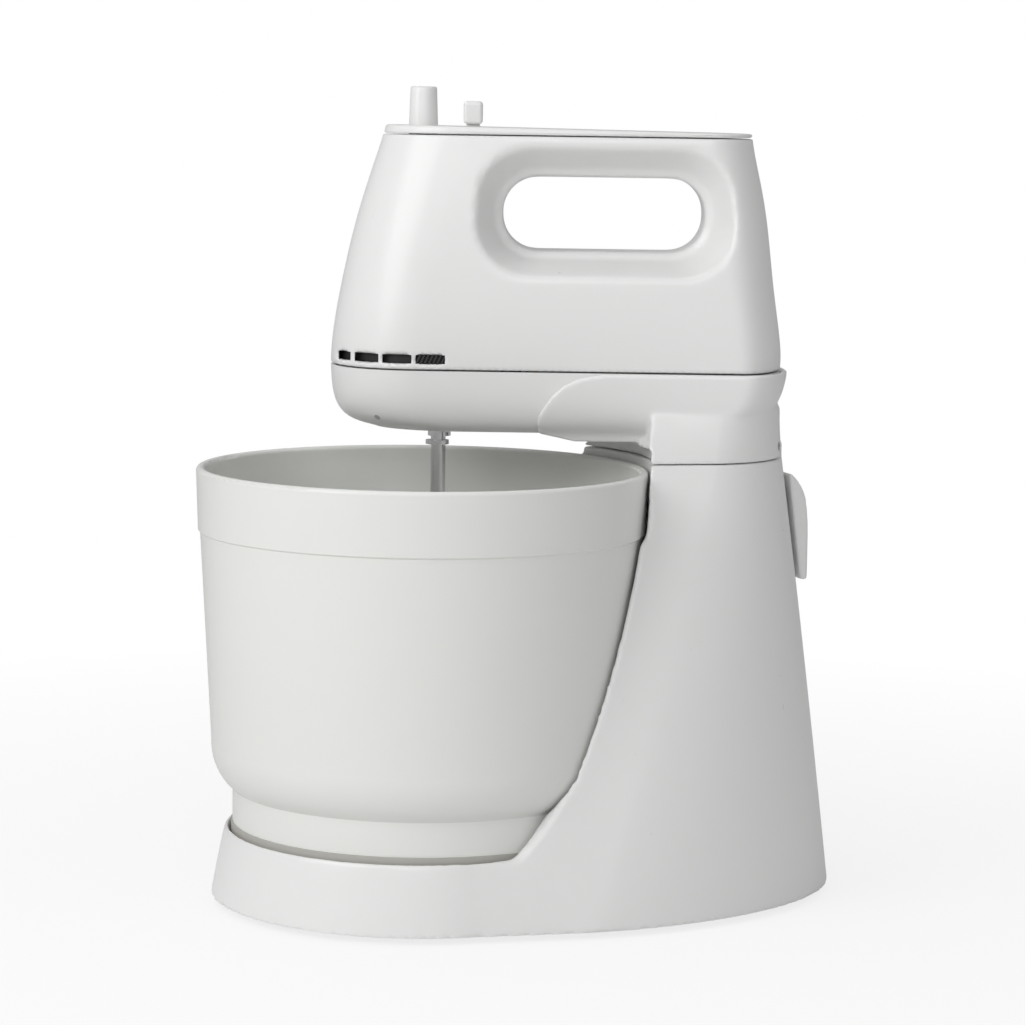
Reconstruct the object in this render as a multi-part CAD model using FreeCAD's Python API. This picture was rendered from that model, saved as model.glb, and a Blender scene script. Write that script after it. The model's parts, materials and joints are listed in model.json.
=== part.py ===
# Stand mixer: a hand mixer seated in a tilting cradle on a stand with a free-turning bowl.
# Frame: +Z up, +X from the bowl towards the column, origin at the middle of the footprint.
# All shapes are built with the bowl's axis at X = 0 and shifted to the origin on export.
import FreeCAD, Part
import math
import os

V = FreeCAD.Vector

# Overall layout, mm
foot_h = 3.0            # rubber feet under the base
seam_z = 191.7          # top of the column, where the cradle sits
head_turn = 18.4        # the head's axis is turned from the stand's axis, degrees
head_offset = 39.5      # head axis behind the bowl's axis, measured square to the head
wall = 2.6              # moulded wall of the stand
run_fit = 0.05          # radial clearance of a shaft in its bore
part_gap = 0.4          # clearance between moving moulded pieces
seam_gap = 0.5          # visible parting line between housing halves

# Bowl and turntable
bowl_rim_r = 97.0
bowl_rim_z = 188.5
bowl_wall = 2.4
bowl_band_z = 160.8     # lower edge of the plain band under the rim
bowl_waist_r = 95.2     # wall radius just under the band
bowl_belly_r = 90.0     # wall radius where the shoulder starts
bowl_belly_z = 70.0
bowl_foot_r = 80.75
bowl_foot_top = 49.6
bowl_foot_z = 35.0
bowl_floor_z = 40.0     # inside bottom of the bowl
bowl_gap = 1.5          # gap between the bowl and the stand
turntable_h = 6.0
turntable_gap = 0.3
axle_r = 4.0
glide_count = 3
glide_h = 2.0
glide_r = 4.5
glide_pitch_r = 62.0

# Stand
base_top_z = 33.5
stand_rear_bottom = 188.0
stand_rear_top = 163.0
stand_half_bottom = 95.0
stand_half_top = 46.0
stand_half_bulge = 5.9
side_slope = 0.107      # the sides draw in towards the front
stand_centre_bottom = 49.0
stand_centre_top = 118.0
wing_start = 16.0       # front end of the side wing at the base's top edge
wing_reach = 50.0
wing_rise = 45.0
plate_t = 2.5
foot_r = 8.0
foot_pitch_r = 66.0
boss_r = 4.5
screw_r = 1.6
screw_head_r = 3.2
screw_pitch_r = 52.0

# Tilt hinge and lever
hinge_u = 155.8
hinge_r = 4.8
hinge_pin_r = 2.0
barrel_half = 9.0
ear_t = 6.0
lever_half = 15.0
lever_top_z = 184.0
lever_bottom_z = 136.5
lever_t = 7.6
lever_pivot_z = 182.5
lever_pivot_in = 7.0    # pivot inside the column's rear face
lever_pin_r = 1.5
lever_arm_half = 5.0

# Head
head_bottom_z = 203.0
head_top_z = 334.5
head_top_fall = 2.0     # the top falls this much towards the rear
head_seam_z = 230.0
cover_z = 330.6
head_wall = 2.6
nose_round = 38.0       # plan length of the rounded nose
rear_round = 20.0
saddle_gap = 0.35
saddle_wall = 2.9
saddle_top_z = 230.0
neck_front = 88.0       # front of the cradle's neck, along the stand
neck_top_a = 98.0       # the same under the head, along the head
hole_front = 33.0
hole_rear = 120.5
hole_low = 281.0
hole_high = 312.9
scoop_front = 21.5
scoop_rear = 133.5
scoop_low = 271.6
scoop_high = 329.0
grip_half = 16.5

# Drive
beater_a = 5.8          # beater axes, along the head
beater_spacing = 38.5
motor_z = 243.0
worm_r = 5.25           # pitch radius
wheel_teeth = 28
tooth_high = 0.9
tooth_low = 1.1
wheel_t = 5.0
spindle_r = 4.5
stem_r = 2.85
spindle_top = 258.0
stem_top = 236.0
shaft_r = 2.5
core_r = 16.5
core_front = 50.0
core_len = 28.0
air_gap = 0.5
stator_half_b = 28.0
stator_half_z = 25.0
bracket_z = 250.0
bracket_t = 3.0
cage_r = 18.6
cage_low = 62.0
cage_high = 146.0
cage_strip = 5.0
cage_t = 1.4

# Controls
eject_a = -2.3
eject_r = 6.75
eject_top = 351.1
eject_travel = 8.0
speed_a = 19.4
speed_len = 8.3
speed_half = 5.5
speed_top = 345.0
speed_travel = 8.5

origin_u = (stand_rear_bottom - bowl_rim_r) / 2
hinge_z = seam_z + part_gap + hinge_r
beater_b = beater_spacing / 2


def box(x0, x1, y0, y1, z0, z1):
    return Part.makeBox(x1 - x0, y1 - y0, z1 - z0, V(x0, y0, z0))


def rod(r, p, direction, length):
    return Part.makeCylinder(r, length, V(*p), V(*direction))


def post(r, x, y, z0, z1):
    return rod(r, (x, y, z0), (0, 0, 1), z1 - z0)


def line(p, q):
    return Part.makeLine(V(*p), V(*q))


def arc(p, q, r):
    return Part.Arc(V(*p), V(*q), V(*r)).toShape()


def fuse(shapes):
    return shapes[0].multiFuse(shapes[1:]).removeSplitter()


def revolve(edges):
    face = Part.Face(Part.Wire(edges))
    return face.revolve(V(0, 0, 0), V(0, 0, 1), 360)


def to_stand(shape):
    # The head's own frame (a along the head, b across it) seen from the stand.
    placed = shape.copy()
    placed.translate(V(0, head_offset, 0))
    placed.rotate(V(0, 0, 0), V(0, 0, 1), -head_turn)
    return placed


# Bowl, revolved from its outer profile moved out or in by d
def bowl_side(d):
    foot = (bowl_foot_r + d, 0, bowl_foot_top)
    mid = (bowl_foot_r + 5.6 + d, 0, bowl_foot_top + 6.4)
    belly = (bowl_belly_r + d, 0, bowl_belly_z)
    waist = (bowl_waist_r + d, 0, bowl_band_z)
    return foot, mid, belly, waist


def make_bowl():
    foot, mid, belly, waist = bowl_side(0)
    foot_i, mid_i, belly_i, waist_i = bowl_side(-bowl_wall)
    band = (bowl_rim_r - 0.9, 0, bowl_band_z + 0.8)
    lip = bowl_wall + 1.2
    rim_out = (bowl_rim_r, 0, bowl_rim_z - lip / 2)
    rim_top = (bowl_rim_r - lip / 2, 0, bowl_rim_z)
    rim_in = (bowl_rim_r - lip, 0, bowl_rim_z - lip / 2)
    under = (rim_in[0], 0, bowl_rim_z - lip * 2)
    floor_r = bowl_foot_r - bowl_wall - 10.0
    floor = (floor_r, 0, bowl_floor_z)
    bend = (floor_r + 7.4, 0, bowl_floor_z + 2.9)
    rise = (bowl_foot_r - bowl_wall, 0, bowl_floor_z + 9.0)
    base_z = bowl_floor_z - bowl_wall
    ring_r = bowl_foot_r - 4.0
    edges = [
        line((0, 0, bowl_floor_z), floor),
        arc(floor, bend, rise),
        line(rise, foot_i),
        arc(foot_i, mid_i, belly_i),
        line(belly_i, waist_i),
        line(waist_i, under),
        line(under, rim_in),
        arc(rim_in, rim_top, rim_out),
        line(rim_out, band),
        line(band, waist),
        line(waist, belly),
        arc(belly, mid, foot),
        line(foot, (bowl_foot_r, 0, bowl_foot_z)),
        line((bowl_foot_r, 0, bowl_foot_z), (ring_r, 0, bowl_foot_z)),
        line((ring_r, 0, bowl_foot_z), (ring_r, 0, base_z)),
        line((ring_r, 0, base_z), (0, 0, base_z)),
        line((0, 0, base_z), (0, 0, bowl_floor_z)),
    ]
    return revolve(edges)


def bowl_space(d, floor_z, top_z):
    foot, mid, belly, waist = bowl_side(bowl_gap + d)
    band = (bowl_rim_r + bowl_gap + d, 0, bowl_band_z)
    low = (foot[0], 0, floor_z)
    high = (band[0], 0, top_z)
    edges = [
        line((0, 0, floor_z), low),
        line(low, foot),
        arc(foot, mid, belly),
        line(belly, waist),
        line(waist, band),
        line(band, high),
        line(high, (0, 0, top_z)),
        line((0, 0, top_z), (0, 0, floor_z)),
    ]
    return revolve(edges)


turntable_top = bowl_foot_z
turntable_low = turntable_top - turntable_h
well_floor = turntable_low - turntable_gap - glide_h


def make_turntable():
    plate = Part.makeCylinder(bowl_foot_r + 0.6, turntable_h, V(0, 0, turntable_low))
    dish = Part.makeCylinder(bowl_foot_r - 12, turntable_h, V(0, 0, turntable_low + 2.5))
    hub = Part.makeCylinder(axle_r + 5, turntable_h, V(0, 0, turntable_low))
    ring = Part.makeCylinder(bowl_foot_r - 4 - part_gap, 2.0, V(0, 0, turntable_top))
    ring = ring.cut(Part.makeCylinder(bowl_foot_r - 12, 2.0, V(0, 0, turntable_top)))
    ribs = []
    for k in range(6):
        rib = box(axle_r + 3, bowl_foot_r - 11, -1.2, 1.2, turntable_low, turntable_top - 0.5)
        rib.rotate(V(0, 0, 0), V(0, 0, 1), 60 * k)
        ribs.append(rib)
    bore = Part.makeCylinder(axle_r + run_fit, 40, V(0, 0, turntable_low - 5))
    body = fuse([plate.cut(dish), hub, ring] + ribs)
    return body.cut(bore)


# Stand: a low base under the bowl and a column lofted from it, scooped out by the bowl
def stand_values(z):
    t = (z - foot_h) / (seam_z - foot_h)
    rear = stand_rear_bottom + (stand_rear_top - stand_rear_bottom) * t
    centre = stand_centre_bottom + (stand_centre_top - stand_centre_bottom) * t
    half = stand_half_bottom + (stand_half_top - stand_half_bottom) * t
    half += stand_half_bulge * 4 * t * (1 - t)
    front = wing_start + wing_reach * (1 - math.exp(-(z - base_top_z) / wing_rise))
    return rear, centre, half, front


def half_ellipse(centre, end, half, z):
    # From the right side (-half) round the end to the left side (+half), or back for a nose.
    reach = abs(end - centre)
    turn = math.pi / 2
    if reach >= half:
        curve = Part.Ellipse(V(end, 0, z), V(centre, half, z), V(centre, 0, z))
        return Part.ArcOfEllipse(curve, -turn, turn).toShape()
    curve = Part.Ellipse(V(centre, half, z), V(end, 0, z), V(centre, 0, z))
    return Part.ArcOfEllipse(curve, 0, 2 * turn).toShape()


def column_wire(z, inset):
    rear, centre, half, front = stand_values(z)
    half -= inset
    front += inset
    side = half - side_slope * (centre - front)
    return Part.Wire([
        line((front, side, z), (front, -side, z)),
        line((front, -side, z), (centre, -half, z)),
        half_ellipse(centre, rear - inset, half, z),
        line((centre, half, z), (front, side, z)),
    ])


def base_wire(z, inset):
    rear, centre, half, front = stand_values(z)
    half -= inset
    r = half - side_slope * centre
    return Part.Wire([
        arc((0, r, z), (-r, 0, z), (0, -r, z)),
        line((0, -r, z), (centre, -half, z)),
        half_ellipse(centre, rear - inset, half, z),
        line((centre, half, z), (0, r, z)),
    ])


def stand_block(inset, low, split, high):
    levels = [split, 57.0, 85.0, 120.0, 155.0, high]
    column = Part.makeLoft([column_wire(z, inset) for z in levels], True, False)
    levels = [low, (low + split) / 2, split]
    base = Part.makeLoft([base_wire(z, inset) for z in levels], True, False)
    return column.fuse(base)


def rear_face(z):
    return stand_values(z)[0]


def around(count, radius, start):
    for k in range(count):
        angle = math.radians(start + 360 / count * k)
        yield radius * math.cos(angle), radius * math.sin(angle)


pivot_u = rear_face(lever_pivot_z) - lever_pivot_in
screw_spots = list(around(4, screw_pitch_r, 45))
foot_spots = list(around(3, foot_pitch_r, 120)) + [(150, 40), (150, -40)]


def make_stand():
    outer = stand_block(0, foot_h, base_top_z, seam_z)
    inner = stand_block(wall, foot_h - 1, base_top_z - wall, seam_z - wall)
    inner = inner.cut(bowl_space(wall, well_floor - wall, seam_z + 60))
    shell = outer.cut(inner).cut(bowl_space(0, well_floor, seam_z + 60))
    floor_under = well_floor - wall
    bosses = []
    for x, y in screw_spots:
        boss = post(boss_r, x, y, foot_h + plate_t, floor_under + 0.5)
        bosses.append(boss.cut(post(screw_r + run_fit, x, y, 0, floor_under - 2)))
    ears = []
    for side in (-1, 1):
        near = side * (barrel_half + part_gap)
        far = side * (barrel_half + part_gap + ear_t)
        low, high = min(near, far), max(near, far)
        ear = rod(hinge_r, (hinge_u, low, hinge_z), (0, 1, 0), high - low)
        ear = ear.fuse(box(hinge_u - hinge_r, hinge_u + hinge_r, low, high, seam_z - 1, hinge_z))
        ears.append(ear.cut(rod(hinge_pin_r, (hinge_u, low - 1, hinge_z), (0, 1, 0), high - low + 2)))
        lug_low = side * (lever_arm_half + part_gap)
        lug_far = side * (lever_arm_half + part_gap + 5.0)
        low, high = min(lug_low, lug_far), max(lug_low, lug_far)
        lug = rod(4.5, (pivot_u, low, lever_pivot_z), (0, 1, 0), high - low)
        lug = lug.fuse(box(pivot_u, rear_face(lever_pivot_z) - 1, low, high, lever_pivot_z - 4.5, lever_pivot_z + 4.5))
        ears.append(lug.cut(rod(lever_pin_r, (pivot_u, low - 1, lever_pivot_z), (0, 1, 0), high - low + 2)))
    socket = Part.makeCylinder(axle_r + 5, 6, V(0, 0, floor_under - 5))
    arm_room = lever_arm_half + part_gap
    window = box(pivot_u, pivot_u + 40, -arm_room, arm_room, lever_pivot_z - 14, lever_pivot_z + 3.5)
    slot = box(pivot_u - 14.5, pivot_u - 6.4, -arm_room, arm_room, seam_z - 5, seam_z + 1)
    shell = shell.cut(window).cut(slot)
    shell = fuse([shell, socket] + bosses + ears)
    return shell.cut(post(axle_r, 0, 0, floor_under - 3, well_floor + 1))


def make_axle():
    pin = post(axle_r, 0, 0, well_floor - wall - 3, turntable_top)
    return pin


def make_glides():
    return Part.makeCompound([post(glide_r, x, y, well_floor, well_floor + glide_h)
                              for x, y in around(glide_count, glide_pitch_r, 30)])


def make_base_plate():
    sheet = Part.Face(base_wire(foot_h + plate_t, wall + part_gap)).extrude(V(0, 0, -plate_t))
    for x, y in screw_spots:
        sheet = sheet.cut(post(screw_r + run_fit, x, y, 0, 10))
        sheet = sheet.cut(post(screw_head_r + part_gap, x, y, 0, foot_h + 1.2))
    return sheet


def make_base_screws():
    screws = []
    for x, y in screw_spots:
        head = post(screw_head_r, x, y, foot_h, foot_h + 1.2)
        screws.append(head.fuse(post(screw_r, x, y, foot_h, foot_h + 14)))
    return Part.makeCompound(screws)


def make_feet():
    feet = []
    for x, y in foot_spots:
        feet.append(Part.makeCone(foot_r - 1, foot_r, foot_h, V(x, y, 0)))
    return Part.makeCompound(feet)


def make_hinge_pin():
    half = barrel_half + part_gap + ear_t
    return rod(hinge_pin_r, (hinge_u, -half, hinge_z), (0, 1, 0), 2 * half)


def make_lever_pin():
    half = lever_arm_half + part_gap + 5.0
    return rod(lever_pin_r, (pivot_u, -half, lever_pivot_z), (0, 1, 0), 2 * half)


def make_lever():
    # A pressing plate that follows the column's slope, with an arm on the pivot and a latch nose.
    def skin(z, out):
        return rear_face(z) + out
    top, low = lever_top_z, lever_bottom_z
    outline = [
        line((skin(low, 0.8), 0, low), (skin(low, lever_t), 0, low)),
        line((skin(low, lever_t), 0, low), (skin(top - 12, lever_t), 0, top - 12)),
        arc((skin(top - 12, lever_t), 0, top - 12), (skin(top - 3.5, lever_t - 3), 0, top - 3.5), (skin(top, 1.6), 0, top)),
        line((skin(top, 1.6), 0, top), (skin(top, 0.8), 0, top)),
        line((skin(top, 0.8), 0, top), (skin(low, 0.8), 0, low)),
    ]
    plate = Part.Face(Part.Wire(outline)).extrude(V(0, 2 * lever_half, 0))
    plate.translate(V(0, -lever_half, 0))
    reach = 2 * lever_half
    crown = Part.makeCylinder(reach, 200, V(rear_face(low) + lever_t - reach, 0, 100))
    plate = plate.common(crown)
    arm = rod(4.5, (pivot_u, -lever_arm_half, lever_pivot_z), (0, 1, 0), 2 * lever_arm_half)
    half = lever_arm_half
    tail = box(pivot_u, rear_face(lever_pivot_z) + 3, -half, half, lever_pivot_z - 5, lever_pivot_z + 1)
    link = box(pivot_u - 11, pivot_u, -half, half, lever_pivot_z - 4, lever_pivot_z + 1)
    nose = box(pivot_u - 11, pivot_u - 7, -half, half, lever_pivot_z - 1, seam_z - 0.5)
    body = fuse([plate, arm, tail, link, nose])
    return body.cut(rod(lever_pin_r + run_fit, (pivot_u, -20, lever_pivot_z), (0, 1, 0), 40))


# Head: horizontal sections with a rounded nose and rear, lofted upwards
head_levels = [
    (head_bottom_z, -22.0, 126.0, 30.0),
    (206.2, -32.4, 138.5, 34.6),
    (213.0, -39.1, 149.5, 38.2),
    (222.0, -41.3, 154.0, 39.4),
    (231.0, -41.8, 155.6, 39.6),
    (257.0, -39.0, 153.2, 38.0),
    (284.0, -33.5, 149.8, 35.2),
    (310.0, -26.3, 145.6, 31.8),
    (head_top_z + 2, -18.0, 141.0, 28.0),
]


def head_wire(level, grow):
    z, nose, rear, half = level
    nose -= grow
    rear += grow
    half += grow
    front_c = nose + nose_round
    rear_c = rear - rear_round
    return Part.Wire([
        half_ellipse(front_c, nose, half, z),
        line((front_c, -half, z), (rear_c, -half, z)),
        half_ellipse(rear_c, rear, half, z),
        line((rear_c, half, z), (front_c, half, z)),
    ])


def head_block(grow):
    wires = []
    for k, level in enumerate(head_levels):
        z = level[0] - grow if k == 0 else level[0]
        wires.append(head_wire((z,) + level[1:], grow))
    return Part.makeLoft(wires, True, False)


def stadium(front, rear, low, high, b, r):
    bend = r * (1 - math.sqrt(0.5))
    return Part.Wire([
        line((front + r, b, low), (rear - r, b, low)),
        arc((rear - r, b, low), (rear - bend, b, low + bend), (rear, b, low + r)),
        line((rear, b, low + r), (rear, b, high - r)),
        arc((rear, b, high - r), (rear - bend, b, high - bend), (rear - r, b, high)),
        line((rear - r, b, high), (front + r, b, high)),
        arc((front + r, b, high), (front + bend, b, high - bend), (front, b, high - r)),
        line((front, b, high - r), (front, b, low + r)),
        arc((front, b, low + r), (front + bend, b, low + bend), (front + r, b, low)),
    ])


def make_head_skin():
    skin = head_block(0)
    tilt = math.degrees(math.atan(head_top_fall / (hole_rear + 40)))
    lid = box(-80, 220, -80, 80, head_top_z, head_top_z + 40)
    lid.rotate(V(-20, 0, head_top_z), V(0, 1, 0), tilt)
    return skin.cut(lid)


def make_grip_cut():
    hole = Part.Face(stadium(hole_front, hole_rear, hole_low, hole_high, -60, 15.0)).extrude(V(0, 120, 0))
    cuts = [hole]
    for side in (-1, 1):
        outer = stadium(scoop_front, scoop_rear, scoop_low, scoop_high, side * 34.0, 24.0)
        inner = stadium(hole_front - 3, hole_rear + 3, hole_low - 3, hole_high + 3, side * grip_half, 17.5)
        beyond = stadium(scoop_front - 6, scoop_rear + 6, scoop_low - 4, scoop_high + 6, side * 50.0, 28.0)
        cuts.append(Part.makeLoft([inner, outer], True, True))
        cuts.append(Part.makeLoft([outer, beyond], True, True))
    return cuts


vent_spans = [(-37.6, -32.0), (-30.1, -19.6), (-17.9, -5.3), (-3.5, 9.1)]
vent_low = 232.8
vent_high = 236.6


def make_upper_housing(skin):
    body = skin.common(box(-80, 220, -80, 80, head_seam_z + seam_gap / 2, cover_z - seam_gap / 2))
    for cut in make_grip_cut():
        body = body.cut(cut)
    inside = head_block(-head_wall)
    motor_room = inside.common(box(-80, 220, -80, 80, head_seam_z - 1, scoop_low - 3.4))
    nose_room = inside.common(box(-80, scoop_front - 4, -80, 80, scoop_low - 4, cover_z + 2))
    pocket = box(speed_a - 15, speed_a + speed_len / 2 + 1, -9.4, 9.4, cover_z - 22.6, cover_z + 2)
    body = body.cut(motor_room).cut(nose_room).cut(pocket)
    for front, rear in vent_spans:
        body = body.cut(box(front, rear, -80, 80, vent_low, vent_high))
    return body.cut(rod(4.0, (100, 0, head_seam_z + 14), (1, 0, 0), 80))


def make_lower_housing(skin):
    body = skin.common(box(-80, 220, -80, 80, head_bottom_z - 5, head_seam_z - seam_gap / 2))
    inside = head_block(-head_wall).common(box(-80, 220, -80, 80, head_bottom_z + head_wall, head_seam_z + 1))
    body = body.cut(inside)
    adds = []
    for side in (-1, 1):
        adds.append(post(spindle_r + 3, beater_a, side * beater_b, head_bottom_z + 0.5, head_bottom_z + 10))
    for a in (core_front + 3, core_front + core_len - 7):
        adds.append(box(a, a + 4, -18, 18, head_bottom_z + 1, motor_z - stator_half_z))
    body = fuse([body] + adds)
    for side in (-1, 1):
        body = body.cut(post(spindle_r + run_fit, beater_a, side * beater_b, head_bottom_z - 2, head_bottom_z + 12))
    return body


def make_cover(skin):
    body = skin.common(box(-80, 220, -80, 80, cover_z + seam_gap / 2, head_top_z + 5))
    body = body.cut(post(eject_r + part_gap, eject_a, 0, cover_z - 2, head_top_z + 5))
    half = speed_len / 2 - 1.2 + part_gap
    slot = box(speed_a - half - speed_travel, speed_a + half, -speed_half + 2.6, speed_half - 2.6, cover_z - 2, head_top_z + 5)
    return body.cut(slot)


def make_vent_baffle():
    ring = head_block(-head_wall - 0.6).cut(head_block(-head_wall - 2.0))
    ring = ring.common(box(-80, 12, -80, 80, vent_low - 2, vent_high + 2))
    return ring


# Cradle: a saddle round the back half of the head on a short neck
def make_cradle():
    outer = head_block(saddle_gap + saddle_wall)
    front = [V(100, 0, 196.8), V(66, 0, 199.6), V(50.5, 0, 203.0)]
    nose = Part.BSplineCurve()
    nose.interpolate([V(50.5, 0, 203.0), V(48.8, 0, 206.5), V(52.3, 0, 216.0), V(58.8, 0, 223.6), V(71.0, 0, 228.8), V(82, 0, saddle_top_z)])
    keep = Part.Wire([
        line(front[0], front[1]), line(front[1], front[2]), nose.toShape(),
        line((82, 0, saddle_top_z), (175, 0, saddle_top_z)),
        line((175, 0, saddle_top_z), (175, 0, 196.8)),
        line((175, 0, 196.8), (100, 0, 196.8)),
    ])
    outline = Part.Face(keep).extrude(V(0, 120, 0))
    outline.translate(V(0, -60, 0))
    trough = to_stand(outer.common(outline))
    low = seam_z + part_gap
    rear, centre, half, wing = stand_values(seam_z)
    side = half - side_slope * (centre - neck_front)
    foot_wire = Part.Wire([
        line((neck_front, side, low), (neck_front, -side, low)),
        line((neck_front, -side, low), (centre, -half, low)),
        half_ellipse(centre, rear, half, low),
        line((centre, half, low), (neck_front, side, low)),
    ])
    top_z = 214.0
    half_b = 41.5
    top_wire = Part.Wire([
        line((neck_top_a, half_b, top_z), (neck_top_a, -half_b, top_z)),
        line((neck_top_a, -half_b, top_z), (128, -half_b, top_z)),
        half_ellipse(128, 156, half_b, top_z),
        line((128, half_b, top_z), (neck_top_a, half_b, top_z)),
    ])
    neck = Part.makeLoft([foot_wire, to_stand(top_wire)], True, True)
    neck = neck.cut(Part.makeCylinder(bowl_rim_r + bowl_gap, 12, V(0, 0, low - 6)))
    body = neck.fuse(trough)
    body = body.cut(to_stand(head_block(saddle_gap)))
    body = body.cut(to_stand(box(-60, 200, -saddle_wall - 38, saddle_wall + 38, saddle_top_z, saddle_top_z + 30)))
    lift = box(hinge_u, hinge_u + 30, -60, 60, low - 2, hinge_z)
    lift = lift.cut(rod(hinge_r, (hinge_u, -70, hinge_z), (0, 1, 0), 140))
    body = body.cut(lift)
    for s in (-1, 1):
        near = s * barrel_half
        far = s * (barrel_half + 2 * part_gap + ear_t)
        low_v, high_v = min(near, far), max(near, far)
        body = body.cut(rod(hinge_r * 1.42 + part_gap + 1, (hinge_u, low_v, hinge_z), (0, 1, 0), high_v - low_v))
    barrel = rod(hinge_r, (hinge_u, -barrel_half, hinge_z), (0, 1, 0), 2 * barrel_half)
    body = body.fuse(barrel)
    return body.cut(rod(hinge_pin_r + run_fit, (hinge_u, -60, hinge_z), (0, 1, 0), 120))


# Motor along the head
def make_stator():
    block = box(core_front, core_front + core_len, -stator_half_b, stator_half_b,
                motor_z - stator_half_z, motor_z + stator_half_z)
    return block.cut(rod(core_r + air_gap, (core_front - 5, 0, motor_z), (1, 0, 0), core_len + 10))


def make_field_coils():
    coils = []
    for a in (core_front - 6, core_front + core_len):
        ring = rod(core_r + 6, (a, 0, motor_z), (1, 0, 0), 6)
        ring = ring.cut(rod(core_r + 1.5, (a - 1, 0, motor_z), (1, 0, 0), 8))
        for s in (-1, 1):
            keep = box(a - 1, a + 7, -40, 40, motor_z + 4 if s > 0 else motor_z - 40, motor_z + 40 if s > 0 else motor_z - 4)
            coils.append(ring.common(keep))
    return Part.makeCompound(coils)


shaft_front = beater_a - 22.0
shaft_rear = core_front + core_len + 40.0
worm_half = 10.0
worm_lead = 2 * math.pi * (beater_b - worm_r) / wheel_teeth


def make_shaft():
    root = rod(worm_r - tooth_low, (beater_a - worm_half - 2, 0, motor_z), (1, 0, 0), 2 * worm_half + 4)
    bar = rod(shaft_r, (shaft_front, 0, motor_z), (1, 0, 0), shaft_rear - shaft_front)
    helix = Part.makeHelix(worm_lead, 2 * worm_half, worm_r - tooth_low)
    inner = worm_r - tooth_low - 0.3
    outer = worm_r + tooth_high
    base_half = 0.24 * worm_lead
    tip_half = 0.10 * worm_lead
    tooth = Part.Wire([
        line((inner, 0, -base_half), (outer, 0, -tip_half)),
        line((outer, 0, -tip_half), (outer, 0, tip_half)),
        line((outer, 0, tip_half), (inner, 0, base_half)),
        line((inner, 0, base_half), (inner, 0, -base_half)),
    ])
    thread = Part.Wire(helix).makePipeShell([tooth], True, True)
    thread.rotate(V(0, 0, 0), V(0, 1, 0), 90)
    thread.translate(V(beater_a - worm_half, 0, motor_z))
    return root.fuse(bar), thread


def make_core():
    body = rod(core_r, (core_front, 0, motor_z), (1, 0, 0), core_len)
    for k in range(12):
        slot = box(core_front - 1, core_front + core_len + 1, -0.9, 0.9, motor_z + core_r - 5, motor_z + core_r + 1)
        slot.rotate(V(0, 0, motor_z), V(1, 0, 0), 30 * k)
        body = body.cut(slot)
    return body.cut(rod(shaft_r, (core_front - 5, 0, motor_z), (1, 0, 0), core_len + 10))


def make_windings():
    rings = []
    for a in (core_front - 5, core_front + core_len):
        ring = rod(core_r - 3, (a, 0, motor_z), (1, 0, 0), 5)
        rings.append(ring.cut(rod(shaft_r, (a - 1, 0, motor_z), (1, 0, 0), 7)))
    return Part.makeCompound(rings)


commutator_a = core_front + core_len + 11.0


def make_commutator():
    ring = rod(9.0, (commutator_a, 0, motor_z), (1, 0, 0), 11)
    for k in range(12):
        slot = box(commutator_a - 1, commutator_a + 12, -0.35, 0.35, motor_z + 7.5, motor_z + 10)
        slot.rotate(V(0, 0, motor_z), V(1, 0, 0), 30 * k)
        ring = ring.cut(slot)
    return ring.cut(rod(shaft_r, (commutator_a - 1, 0, motor_z), (1, 0, 0), 13))


def make_brushes():
    holders = []
    for s in (-1, 1):
        near, far = s * 9.3, s * 23.0
        holders.append(box(commutator_a + 2.5, commutator_a + 8.5, min(near, far), max(near, far), motor_z - 3.5, motor_z + 3.5))
    return Part.makeCompound(holders)


fan_a = core_front - 17.0


def make_fan():
    hub = rod(6.0, (fan_a, 0, motor_z), (1, 0, 0), 9)
    disc = rod(17.5, (fan_a, 0, motor_z), (1, 0, 0), 1.6)
    parts = [hub, disc]
    for k in range(9):
        blade = box(fan_a, fan_a + 9, -0.8, 0.8, motor_z + 5, motor_z + 17)
        blade.rotate(V(0, 0, motor_z), V(1, 0, 0), 40 * k)
        parts.append(blade)
    return fuse(parts).cut(rod(shaft_r, (fan_a - 2, 0, motor_z), (1, 0, 0), 14))


def make_gear_bracket():
    plate = box(beater_a - 20, beater_a + 22, -30.5, 30.5, bracket_z, bracket_z + bracket_t)
    carrier = box(shaft_front, shaft_front + 6, -8, 8, motor_z - 8, bracket_z + 1)
    tube = [post(spindle_r + 2.5, beater_a, s * beater_b, bracket_z, bracket_z + 6) for s in (-1, 1)]
    arms = [box(beater_a + 20, core_front, s * 25.5 - 2.5, s * 25.5 + 2.5, bracket_z, bracket_z + bracket_t) for s in (-1, 1)]
    body = fuse([plate, carrier] + tube + arms)
    for s in (-1, 1):
        body = body.cut(post(spindle_r + run_fit, beater_a, s * beater_b, bracket_z - 1, bracket_z + 9))
    return body.cut(rod(5.0, (shaft_front - 1, 0, motor_z), (1, 0, 0), 8))


def make_front_bearing():
    ring = rod(5.0, (shaft_front, 0, motor_z), (1, 0, 0), 6)
    return ring.cut(rod(shaft_r + run_fit, (shaft_front - 1, 0, motor_z), (1, 0, 0), 8))


rear_bridge_a = shaft_rear - 9.0


def make_rear_bridge():
    plate = box(rear_bridge_a, rear_bridge_a + 5, -28, 28, motor_z - 10, motor_z + 10)
    arms = [box(core_front + core_len, rear_bridge_a + 1, s * 25.5 - 2.5, s * 25.5 + 2.5, motor_z - 4, motor_z + 6) for s in (-1, 1)]
    body = fuse([plate] + arms)
    return body.cut(rod(7.0, (rear_bridge_a - 1, 0, motor_z), (1, 0, 0), 7))


def make_rear_bearing():
    ring = rod(7.0, (rear_bridge_a, 0, motor_z), (1, 0, 0), 5)
    return ring.cut(rod(shaft_r + run_fit, (rear_bridge_a - 1, 0, motor_z), (1, 0, 0), 7))


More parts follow.
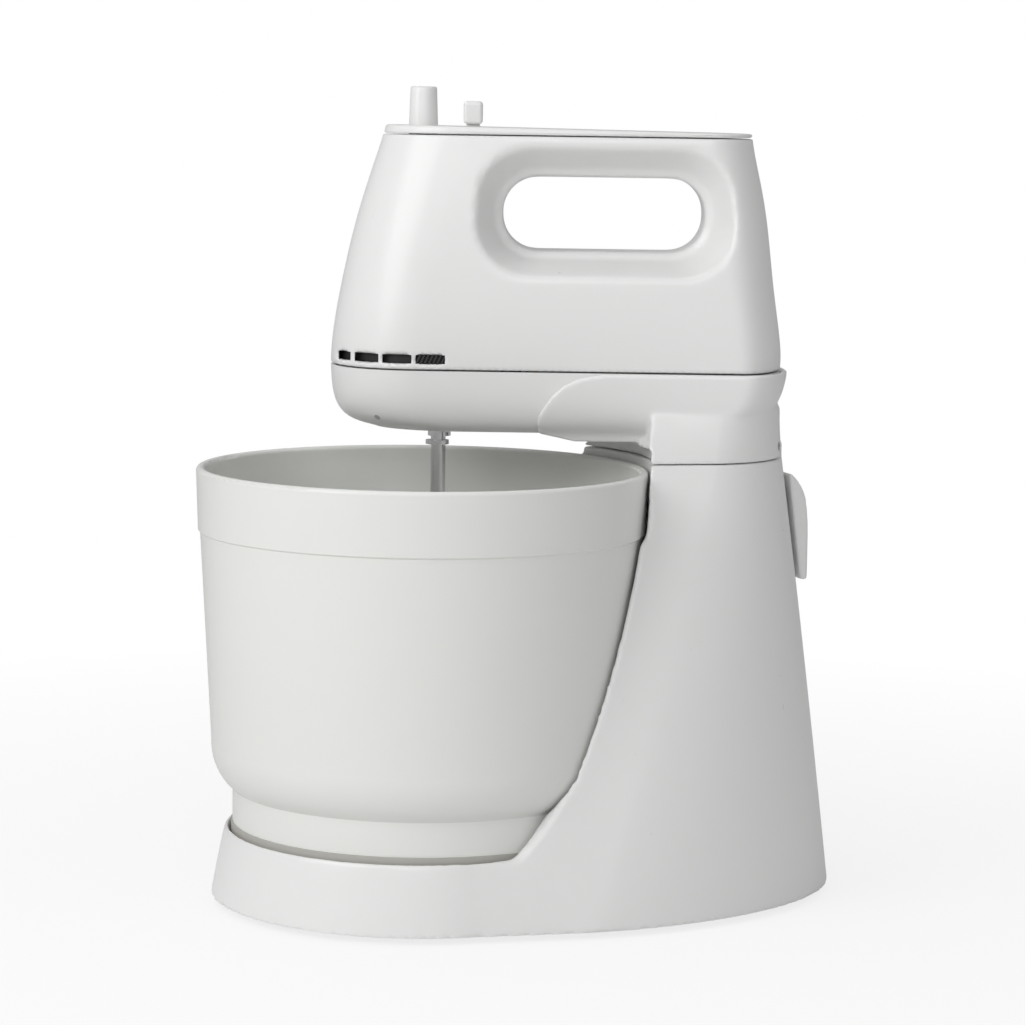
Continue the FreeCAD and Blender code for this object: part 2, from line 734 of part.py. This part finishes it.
# Drive of one beater; the worm passes between the two wheels
def make_wheel(side):
    pitch = beater_b - worm_r
    root = pitch - tooth_low
    tip = pitch + tooth_high
    body = post(root, 0, 0, motor_z - wheel_t / 2, motor_z + wheel_t / 2)
    step = 2 * math.pi / wheel_teeth
    width_root = 0.24 * step * pitch
    width_tip = 0.10 * step * pitch
    teeth = []
    for k in range(wheel_teeth):
        face = Part.Face(Part.makePolygon([
            V(root - 0.4, -width_root, 0), V(tip, -width_tip, 0), V(tip, width_tip, 0),
            V(root - 0.4, width_root, 0), V(root - 0.4, -width_root, 0)]))
        tooth = face.extrude(V(0, 0, wheel_t))
        tooth.translate(V(0, 0, motor_z - wheel_t / 2))
        tooth.rotate(V(0, 0, 0), V(0, 0, 1), 360 / wheel_teeth * k)
        teeth.append(tooth)
    body = fuse([body] + teeth)
    body = body.cut(post(spindle_r, 0, 0, motor_z - 10, motor_z + 10))
    # The thread passes the two wheels half a turn apart; a tooth sits between two threads.
    thread = worm_lead * (0.25 if side > 0 else 0.75) - worm_half
    offset = math.degrees((thread + worm_lead / 2) / pitch)
    body.rotate(V(0, 0, 0), V(0, 0, 1), side * (offset - 90))
    body.translate(V(beater_a, side * beater_b, 0))
    return body


def make_spindle(side):
    tube = post(spindle_r, beater_a, side * beater_b, head_bottom_z + 1.0, spindle_top)
    return tube.cut(post(stem_r + run_fit, beater_a, side * beater_b, head_bottom_z - 5, spindle_top + 5))


def cage_loop():
    # One closed loop of flat strip: straight shoulders, rounded belly, narrow foot.
    def path(d):
        r = cage_r - d
        top = cage_high - d
        low = cage_low + d
        return Part.Wire([
            line((-4, 0, top), (4, 0, top)),
            arc((4, 0, top), (r * 0.86, 0, top - 26), (r, 0, top - 46)),
            line((r, 0, top - 46), (r * 0.98, 0, low + 14)),
            arc((r * 0.98, 0, low + 14), (r * 0.72, 0, low + 4), (5, 0, low)),
            line((5, 0, low), (-5, 0, low)),
            arc((-5, 0, low), (-r * 0.72, 0, low + 4), (-r * 0.98, 0, low + 14)),
            line((-r * 0.98, 0, low + 14), (-r, 0, top - 46)),
            arc((-r, 0, top - 46), (-r * 0.86, 0, top - 26), (-4, 0, top)),
        ])
    face = Part.Face(path(0)).cut(Part.Face(path(cage_t)))
    strip = face.extrude(V(0, cage_strip, 0))
    strip.translate(V(0, -cage_strip / 2, 0))
    return strip


def make_beater(side):
    stem = post(stem_r, 0, 0, cage_low, stem_top)
    collar = post(5.1, 0, 0, 196.6, 198.4)
    hub = post(4.2, 0, 0, cage_high - 4, cage_high + 3)
    loop = cage_loop()
    cross = loop.copy()
    cross.rotate(V(0, 0, 0), V(0, 0, 1), 90)
    body = fuse([stem, collar, hub, loop, cross])
    body.rotate(V(0, 0, 0), V(0, 0, 1), 0 if side < 0 else 45)
    body.translate(V(beater_a, side * beater_b, 0))
    return body


# Controls on top
def make_eject_button():
    cap = Part.makeCone(eject_r, eject_r - 1.0, eject_top - 322.0, V(eject_a, 0, 322.0))
    stem = post(3.2, eject_a, 0, 279.0, 323.0)
    yoke = box(eject_a - 5, beater_a + 4.5, -beater_b - 4, beater_b + 4, 276.0, 280.0)
    prongs = [post(stem_r - 0.35, beater_a, s * beater_b, stem_top + 0.3, 277.0) for s in (-1, 1)]
    return fuse([cap, stem, yoke] + prongs)


def make_eject_spring():
    tube = post(4.6, eject_a, 0, bracket_z + bracket_t, 276.0)
    return tube.cut(post(3.4, eject_a, 0, bracket_z, 280.0))


def make_speed_knob():
    half = speed_len / 2
    foot = head_top_z + 0.6
    knob = box(speed_a - half, speed_a + half, -speed_half, speed_half, foot, speed_top)
    knob = knob.makeFillet(1.6, knob.Edges)
    neck = box(speed_a - half + 1.2, speed_a + half - 1.2, -speed_half + 3, speed_half - 3, cover_z - 12, foot + 2)
    return knob.fuse(neck)


def make_switch():
    half = speed_len / 2
    block = box(speed_a - 14.5, speed_a + half + 0.6, -9, 9, cover_z - 22, cover_z - seam_gap)
    room = box(speed_a - half - speed_travel - 0.5, speed_a + half, -speed_half + 2.5, speed_half - 2.5, cover_z - 13, cover_z + 1)
    return block.cut(room)


def make_inlet():
    ring = rod(3.9, (148, 0, head_seam_z + 14), (1, 0, 0), 6)
    return ring.cut(rod(2.6, (140, 0, head_seam_z + 14), (1, 0, 0), 30))


def export(name, shape):
    placed = shape.copy()
    placed.translate(V(-origin_u, 0, 0))
    placed.exportStep("parts/" + name + ".step")


def main():
    os.makedirs("parts", exist_ok=True)
    skin = make_head_skin()
    stand = {
        "bowl": make_bowl(),
        "turntable": make_turntable(),
        "stand_housing": make_stand(),
        "turntable_axle": make_axle(),
        "turntable_glides": make_glides(),
        "base_plate": make_base_plate(),
        "base_screws": make_base_screws(),
        "base_feet": make_feet(),
        "hinge_pin": make_hinge_pin(),
        "lever_pin": make_lever_pin(),
        "tilt_lever": make_lever(),
        "cradle": make_cradle(),
    }
    shaft, worm = make_shaft()
    head = {
        "upper_housing": make_upper_housing(skin),
        "lower_housing": make_lower_housing(skin),
        "handle_cover": make_cover(skin),
        "vent_baffle": make_vent_baffle(),
        "stator_core": make_stator(),
        "field_coils": make_field_coils(),
        "armature_shaft": shaft.fuse(worm),
        "armature_core": make_core(),
        "armature_windings": make_windings(),
        "commutator": make_commutator(),
        "brush_holders": make_brushes(),
        "fan": make_fan(),
        "gear_bracket": make_gear_bracket(),
        "front_bearing": make_front_bearing(),
        "rear_bridge": make_rear_bridge(),
        "rear_bearing": make_rear_bearing(),
        "worm_wheel_near": make_wheel(-1),
        "worm_wheel_far": make_wheel(1),
        "spindle_near": make_spindle(-1),
        "spindle_far": make_spindle(1),
        "beater_near": make_beater(-1),
        "beater_far": make_beater(1),
        "eject_button": make_eject_button(),
        "eject_spring": make_eject_spring(),
        "speed_knob": make_speed_knob(),
        "speed_switch": make_switch(),
        "cord_inlet": make_inlet(),
    }
    for name, shape in stand.items():
        export(name, shape)
    for name, shape in head.items():
        export(name, to_stand(shape))


if __name__ == "__main__":
    main()
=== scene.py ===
import json
import math
import bpy
from mathutils import Matrix, Vector


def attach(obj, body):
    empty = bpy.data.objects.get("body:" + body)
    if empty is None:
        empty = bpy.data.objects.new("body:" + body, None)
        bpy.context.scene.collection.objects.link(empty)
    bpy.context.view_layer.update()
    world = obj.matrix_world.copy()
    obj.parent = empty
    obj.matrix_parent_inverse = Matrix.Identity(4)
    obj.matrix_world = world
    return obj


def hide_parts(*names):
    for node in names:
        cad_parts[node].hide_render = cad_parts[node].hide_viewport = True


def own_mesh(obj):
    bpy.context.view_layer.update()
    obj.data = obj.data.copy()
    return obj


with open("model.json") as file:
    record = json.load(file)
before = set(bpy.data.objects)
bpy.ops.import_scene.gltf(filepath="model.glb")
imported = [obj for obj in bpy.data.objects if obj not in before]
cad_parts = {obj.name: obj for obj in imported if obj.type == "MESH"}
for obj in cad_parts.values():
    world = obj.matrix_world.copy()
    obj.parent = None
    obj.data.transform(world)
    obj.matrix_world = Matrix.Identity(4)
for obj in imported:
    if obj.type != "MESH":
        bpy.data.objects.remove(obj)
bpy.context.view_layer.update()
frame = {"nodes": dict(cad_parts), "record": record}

# Where the stand's axis and the head stand in the frame, metres
head_turn = math.radians(18.4)
bowl_x = -0.0455
rim_z = 0.1885
head_offset = 0.0395
eject_a = -0.0023
vent_spans = ((-0.0376, -0.0320), (-0.0301, -0.0196), (-0.0179, -0.0053), (-0.0035, 0.0091))
vent_height = (0.2328, 0.2366)
most_faces = 90000      # an eased skin with more four-sided faces than this is thinned out
along = Vector((math.cos(head_turn), -math.sin(head_turn), 0))
across = Vector((math.sin(head_turn), math.cos(head_turn), 0))


class Value:
    """A shader value; arithmetic on it adds Math nodes."""

    def __init__(self, paint, socket):
        self.paint = paint
        self.socket = socket

    def _math(self, operation, a, b):
        return self.paint.node("ShaderNodeMath", {"operation": operation}, {0: a, 1: b})

    def __add__(self, other):
        return self._math("ADD", self, other)

    __radd__ = __add__

    def __mul__(self, other):
        return self._math("MULTIPLY", self, other)


class Paint:
    """One material and the nodes that feed its surface."""

    def __init__(self, name):
        self.material = bpy.data.materials.new(name)
        self.material.use_nodes = True
        self.tree = self.material.node_tree
        self.surface = self.tree.nodes["Principled BSDF"]

    def node(self, kind, settings, inputs, output=0):
        made = self.tree.nodes.new(kind)
        for key, setting in settings.items():
            setattr(made, key, setting)
        for key, value in inputs.items():
            self.feed(made.inputs[key], value)
        return Value(self, made.outputs[output])

    def feed(self, socket, value):
        if isinstance(value, Value):
            self.tree.links.new(value.socket, socket)
        else:
            socket.default_value = value

    def set(self, **sockets):
        for key, value in sockets.items():
            self.feed(self.surface.inputs[key.replace("_", " ")], value)

    def place(self):
        return self.node("ShaderNodeTexCoord", {}, {}, "Object")

    def noise(self, scale, detail=3.0):
        inputs = {"Vector": self.place(), "Scale": scale, "Detail": detail}
        return self.node("ShaderNodeTexNoise", {}, inputs)

    def tint(self, factor, low, high):
        settings = {"data_type": "RGBA"}
        return self.node("ShaderNodeMix", settings, {0: factor, 6: low, 7: high}, 2)

    def bump(self, height, strength, distance):
        inputs = {"Strength": strength, "Distance": distance, "Height": height}
        return self.node("ShaderNodeBump", {}, inputs)


def tone(r, g, b):
    return (r, g, b, 1.0)


def moulded(name, low, high, rough, grain):
    # Moulded plastic: a faint cloud in the colour, a fine sparkle in the gloss and a satin grain.
    paint = Paint(name)
    cloud = paint.noise(9.0)
    fine = paint.noise(220.0, 2.0)
    paint.set(Base_Color=paint.tint(cloud, low, high))
    paint.set(Roughness=rough + fine * 0.06)
    if grain:
        paint.set(Normal=paint.bump(fine, grain, 0.0002))
    return paint.material


def metal(name, low, high, rough, streak):
    # Metal with fine marks, drawn out along its height where the streak is below 1.
    paint = Paint(name)
    inputs = {"Vector": paint.place(), "Scale": (1.0, 1.0, streak)}
    stretched = paint.node("ShaderNodeMapping", {}, inputs)
    inputs = {"Vector": stretched, "Scale": 700.0, "Detail": 2.0}
    line = paint.node("ShaderNodeTexNoise", {}, inputs)
    paint.set(Metallic=1.0)
    paint.set(Base_Color=paint.tint(line, low, high))
    paint.set(Roughness=rough + line * 0.12)
    return paint.material


white = moulded("white_moulding", tone(0.80, 0.80, 0.795), tone(0.84, 0.84, 0.835), 0.26, 0.05)
bowl_white = moulded("bowl_moulding", tone(0.78, 0.785, 0.76), tone(0.81, 0.815, 0.79), 0.22, 0)
ring_grey = moulded("turntable_moulding", tone(0.42, 0.41, 0.38), tone(0.48, 0.47, 0.44), 0.45, 0.10)
natural = moulded("natural_nylon", tone(0.70, 0.68, 0.60), tone(0.75, 0.73, 0.66), 0.45, 0.08)
dark = moulded("dark_moulding", tone(0.006, 0.006, 0.006), tone(0.012, 0.012, 0.012), 0.5, 0.10)
rib_grey = moulded("rib_moulding", tone(0.035, 0.035, 0.035), tone(0.055, 0.055, 0.055), 0.5, 0.10)
soft = moulded("pale_rubber", tone(0.50, 0.50, 0.49), tone(0.58, 0.58, 0.57), 0.65, 0.25)
steel = metal("turned_steel", tone(0.50, 0.50, 0.51), tone(0.62, 0.62, 0.63), 0.28, 0.05)
bright = metal("polished_steel", tone(0.66, 0.66, 0.67), tone(0.76, 0.76, 0.77), 0.10, 0.05)
sheet_iron = metal("stacked_sheet", tone(0.20, 0.21, 0.22), tone(0.30, 0.31, 0.32), 0.45, 0.05)
copper = metal("varnished_copper", tone(0.60, 0.26, 0.12), tone(0.72, 0.36, 0.18), 0.35, 0.2)
bronze = metal("sintered_bronze", tone(0.50, 0.36, 0.16), tone(0.60, 0.45, 0.22), 0.5, 1.0)
casting = metal("zinc_casting", tone(0.42, 0.43, 0.44), tone(0.52, 0.53, 0.54), 0.5, 1.0)

finishes = {
    "white_plastic": white, "bowl_plastic": bowl_white, "grey_plastic": ring_grey, "nylon": natural,
    "black_plastic": dark, "rubber": soft, "steel": steel, "lamination": sheet_iron, "copper": copper,
    "zinc": casting, "bronze": bronze, "bright_steel": bright,
}

slots = {part["node"]: part["material_slot"] for part in frame["record"]["subparts"]}


def finish_nodes():
    for name, piece in frame["nodes"].items():
        piece.data.materials.clear()
        piece.data.materials.append(finishes[slots[name]])


def own_copy(name):
    # A merged copy of a piece, in the frame's own place, ready to be worked on.
    bpy.ops.object.select_all(action="DESELECT")
    source = frame["nodes"][name]
    mesh = source.data.copy()
    mesh.transform(source.matrix_world)
    piece = bpy.data.objects.new(name + "_moulding", mesh)
    bpy.context.collection.objects.link(piece)
    bpy.context.view_layer.objects.active = piece
    piece.select_set(True)
    bpy.ops.object.mode_set(mode="EDIT")
    bpy.ops.mesh.select_all(action="SELECT")
    bpy.ops.mesh.remove_doubles(threshold=0.00002)
    bpy.ops.object.mode_set(mode="OBJECT")
    return piece


def stand_in(piece, name, body):
    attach(piece, body)
    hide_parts(name)


def round_edges(name, body, width):
    # Hard edges of a plain piece rounded off.
    piece = own_copy(name)
    bpy.ops.object.mode_set(mode="EDIT")
    bpy.ops.mesh.dissolve_limited(angle_limit=math.radians(1.0))
    bpy.ops.mesh.select_mode(type="EDGE")
    bpy.ops.mesh.select_all(action="DESELECT")
    bpy.ops.mesh.edges_select_sharp(sharpness=math.radians(32))
    bpy.ops.mesh.bevel(offset=width, segments=3, affect="EDGES", clamp_overlap=False)
    bpy.ops.object.mode_set(mode="OBJECT")
    bpy.ops.object.shade_smooth_by_angle(angle=math.radians(28))
    stand_in(piece, name, body)


def relax(piece, low, high, repeat):
    # Smooths the part of a piece between two heights.
    bpy.ops.object.mode_set(mode="EDIT")
    bpy.ops.mesh.select_all(action="DESELECT")
    bpy.ops.object.mode_set(mode="OBJECT")
    for vertex in piece.data.vertices:
        vertex.select = low < vertex.co.z < high
    bpy.ops.object.mode_set(mode="EDIT")
    bpy.ops.mesh.select_mode(type="VERT")
    bpy.ops.mesh.vertices_smooth(factor=0.5, repeat=repeat)
    bpy.ops.object.mode_set(mode="OBJECT")


def on_head(a, b, z):
    # A place on the head: along it, across it and up, metres.
    return Vector((bowl_x, 0, z)) + along * a + across * (b + head_offset)


def block(a, b, z, lean=0.0):
    # A square bar on the head, from a pair of limits each way.
    spans = [(high - low) for low, high in (a, b, z)]
    middle = [(high + low) / 2 for low, high in (a, b, z)]
    bpy.ops.object.select_all(action="DESELECT")
    turn = (0, lean, -head_turn)
    place = on_head(*middle)
    bpy.ops.mesh.primitive_cube_add(size=1.0, location=place, rotation=turn, scale=spans)
    bpy.ops.object.transform_apply(location=True, rotation=True, scale=True)
    return bpy.context.object


def cut_vents(piece):
    # The vents' crisp mouths.
    for span in vent_spans:
        bar = block(span, (-0.06, 0.06), vent_height)
        bpy.context.view_layer.objects.active = piece
        mouth = piece.modifiers.new("mouth", "BOOLEAN")
        mouth.object = bar
        mouth.operation = "DIFFERENCE"
        bpy.ops.object.modifier_apply(modifier="mouth")
        bpy.data.objects.remove(bar)


def soft_form(name, body, pitch, steps, finish=None):
    # A flowing moulding: worked up as an even skin, eased between given heights until its edges
    # run into each other, and thinned out.
    piece = own_copy(name)
    skin = piece.modifiers.new("skin", "REMESH")
    skin.mode = "VOXEL"
    skin.voxel_size = pitch
    bpy.ops.object.modifier_apply(modifier="skin")
    for low, high, repeat in steps:
        relax(piece, low, high, repeat)
    share = most_faces / len(piece.data.polygons)
    if share < 1:
        thin = piece.modifiers.new("thin", "DECIMATE")
        thin.ratio = share
        bpy.ops.object.modifier_apply(modifier="thin")
    if finish:
        finish(piece)
    bpy.ops.object.select_all(action="DESELECT")
    bpy.context.view_layer.objects.active = piece
    piece.select_set(True)
    bpy.ops.object.shade_smooth_by_angle(angle=math.radians(45))
    stand_in(piece, name, body)


def trim(piece, name, material, body):
    piece.name = name
    piece.data.materials.clear()
    piece.data.materials.append(material)
    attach(piece, body)


def make_vent_ribs():
    # Leaning ribs behind the last vent on each side.
    front = vent_spans[-1][0]
    margin, pitch, thick, height = 0.0008, 0.0018, 0.0006, (0.2323, 0.2371)
    bars = []
    for side in (-1, 1):
        depth = sorted((side * 0.0376, side * 0.0388))
        for step in range(7):
            a = front + margin + step * pitch
            bars.append(block((a, a + thick), depth, height, math.radians(25)))
    bpy.ops.object.select_all(action="DESELECT")
    for bar in bars:
        bar.select_set(True)
    bpy.context.view_layer.objects.active = bars[0]
    bpy.ops.object.join()
    trim(bars[0], "vent_ribs", rib_grey, "head")


def make_eject_coil():
    # The return spring under the eject button: a real coil.
    low, high, coil_r, wire, turns = 0.253, 0.276, 0.004, 0.0006, 7
    axis = on_head(eject_a, 0, low + wire)
    bpy.ops.object.select_all(action="DESELECT")
    bpy.ops.mesh.primitive_circle_add(vertices=12, radius=wire, rotation=(math.pi / 2, 0, 0),
                                      location=(coil_r, 0, 0))
    bpy.ops.object.transform_apply(location=True, rotation=True, scale=True)
    coil = bpy.context.object
    wind = coil.modifiers.new("wind", "SCREW")
    wind.axis = "Z"
    wind.iterations = turns
    wind.screw_offset = (high - low - 2 * wire) / turns
    wind.steps = wind.render_steps = 28
    wind.use_merge_vertices = False
    bpy.ops.object.modifier_apply(modifier="wind")
    bpy.ops.object.mode_set(mode="EDIT")
    bpy.ops.mesh.select_all(action="SELECT")
    bpy.ops.mesh.normals_make_consistent(inside=False)
    bpy.ops.object.mode_set(mode="OBJECT")
    coil.location = axis
    bpy.ops.object.transform_apply(location=True, rotation=True, scale=True)
    bpy.ops.object.shade_smooth()
    trim(coil, "eject_coil", steel, "head")
    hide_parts("eject_spring")
    fixed_end = tuple(on_head(eject_a, 0, low))
    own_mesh(coil)


def make_screw_plug():
    # The plugged screw hole under the nose.
    skin = frame["nodes"]["lower_housing"]
    here = skin.matrix_world.inverted()
    plug_r, plug_depth, sunk = 0.0014, 0.0012, 0.00045
    start = here @ on_head(-0.0200, -0.2, 0.2088)
    _, spot, normal, _ = skin.ray_cast(start, here.to_3x3() @ across)
    turn = normal.to_track_quat("Z", "Y").to_euler()
    bpy.ops.object.select_all(action="DESELECT")
    bpy.ops.mesh.primitive_cylinder_add(vertices=32, radius=plug_r, depth=plug_depth, rotation=turn,
                                        location=skin.matrix_world @ (spot - normal * sunk))
    bpy.ops.object.transform_apply(location=True, rotation=True, scale=True)
    bpy.ops.object.shade_smooth_by_angle(angle=math.radians(30))
    trim(bpy.context.object, "screw_plug", ring_grey, "head")


def studio():
    bpy.ops.object.select_all(action="DESELECT")
    bpy.ops.mesh.primitive_plane_add(size=12.0, location=(0, 0, 0))
    floor = bpy.context.object
    floor.name = "floor"
    paint = Paint("pale_floor")
    paint.set(Base_Color=tone(0.86, 0.86, 0.86), Roughness=0.9)
    # Close to the object the floor is partly its lit self, so that its shadow stays;
    # farther out it is plain white.
    near, far, near_share = 0.15, 0.7, 0.80
    reach = paint.node("ShaderNodeVectorMath", {"operation": "LENGTH"}, {0: paint.place()}, "Value")
    share = paint.node("ShaderNodeMapRange", {}, {0: reach, 1: near, 2: far, 3: near_share, 4: 1.0})
    seen = paint.node("ShaderNodeLightPath", {}, {}, "Is Camera Ray")
    lit = Value(paint, paint.surface.outputs[0])
    plain = paint.node("ShaderNodeEmission", {}, {})
    floor_look = paint.node("ShaderNodeMixShader", {}, {0: seen * share, 1: lit, 2: plain})
    paint.feed(paint.tree.nodes["Material Output"].inputs[0], floor_look)
    floor.data.materials.append(paint.material)


def surroundings(strength):
    # An even pale light all round, plain white where the camera looks past the floor.
    world = bpy.data.worlds.new("studio")
    bpy.context.scene.world = world
    world.use_nodes = True
    tree = world.node_tree
    back = tree.nodes["Background"]
    back.inputs[0].default_value = tone(1, 1, 1)
    back.inputs[1].default_value = strength
    clear = tree.nodes.new("ShaderNodeBackground")
    clear.inputs[0].default_value = tone(1, 1, 1)
    rays = tree.nodes.new("ShaderNodeLightPath")
    blend = tree.nodes.new("ShaderNodeMixShader")
    tree.links.new(rays.outputs["Is Camera Ray"], blend.inputs[0])
    tree.links.new(back.outputs[0], blend.inputs[1])
    tree.links.new(clear.outputs[0], blend.inputs[2])
    tree.links.new(blend.outputs[0], tree.nodes["World Output"].inputs[0])


def lamp(name, side, back, height, size, power):
    # Placed in the photograph's terms: to the side, towards the back and up, from the bowl's rim.
    centre = Vector((bowl_x, 0, rim_z)) + along * 0.04
    spot = centre + along * side + across * back + Vector((0, 0, height))
    light = bpy.data.lights.new(name, "AREA")
    light.shape = "DISK"
    light.size = size
    light.energy = power
    piece = bpy.data.objects.new(name, light)
    piece.location = spot
    piece.rotation_euler = (centre - spot).to_track_quat("-Z", "Y").to_euler()
    bpy.context.collection.objects.link(piece)


def camera():
    # The photograph's own view: focal length in its pixels, metres and radians.
    focal, distance, pitch, roll = 3436.656, 1.4700236, 0.1186, 0.0146
    photo_width, sensor = 1025, 36.0
    place = Vector((bowl_x, 0, rim_z + 0.155955)) + along * 0.03902 - across * distance
    look = across * math.cos(pitch) - Vector((0, 0, math.sin(pitch)))
    right = along
    up = right.cross(look)
    turned_right = right * math.cos(roll) + up * math.sin(roll)
    turned_up = up * math.cos(roll) - right * math.sin(roll)
    lens = bpy.data.cameras.new("photo_view")
    lens.sensor_width = sensor
    lens.lens = focal / photo_width * sensor
    piece = bpy.data.objects.new("photo_view", lens)
    turn = Matrix((turned_right, turned_up, -look)).transposed().to_4x4()
    piece.matrix_world = Matrix.Translation(place) @ turn
    bpy.context.collection.objects.link(piece)
    bpy.context.scene.camera = piece


finish_nodes()
round_edges("handle_cover", "head", 0.0010)
round_edges("eject_button", "eject", 0.0010)
soft_form("stand_housing", "stand", 0.0010, ((0.006, 0.1785, 20),))
soft_form("upper_housing", "head", 0.0011, ((0.2385, 0.3285, 2), (0.262, 0.327, 10)), cut_vents)
soft_form("cradle", "cradle", 0.0008, ((0.2045, 1.0, 9),))
soft_form("tilt_lever", "lever", 0.0007, ((0.0, 1.0, 6),))
make_vent_ribs()
make_eject_coil()
make_screw_plug()
studio()
surroundings(0.40)
lamp("key_light", -1.05, -0.9, 0.8, 1.1, 10.0)
lamp("top_light", -0.2, 0.0, 1.5, 1.0, 3.0)
lamp("front_light", -0.1, -1.65, 0.9, 0.9, 6.0)
camera()
bpy.context.scene.view_settings.view_transform = "Standard"
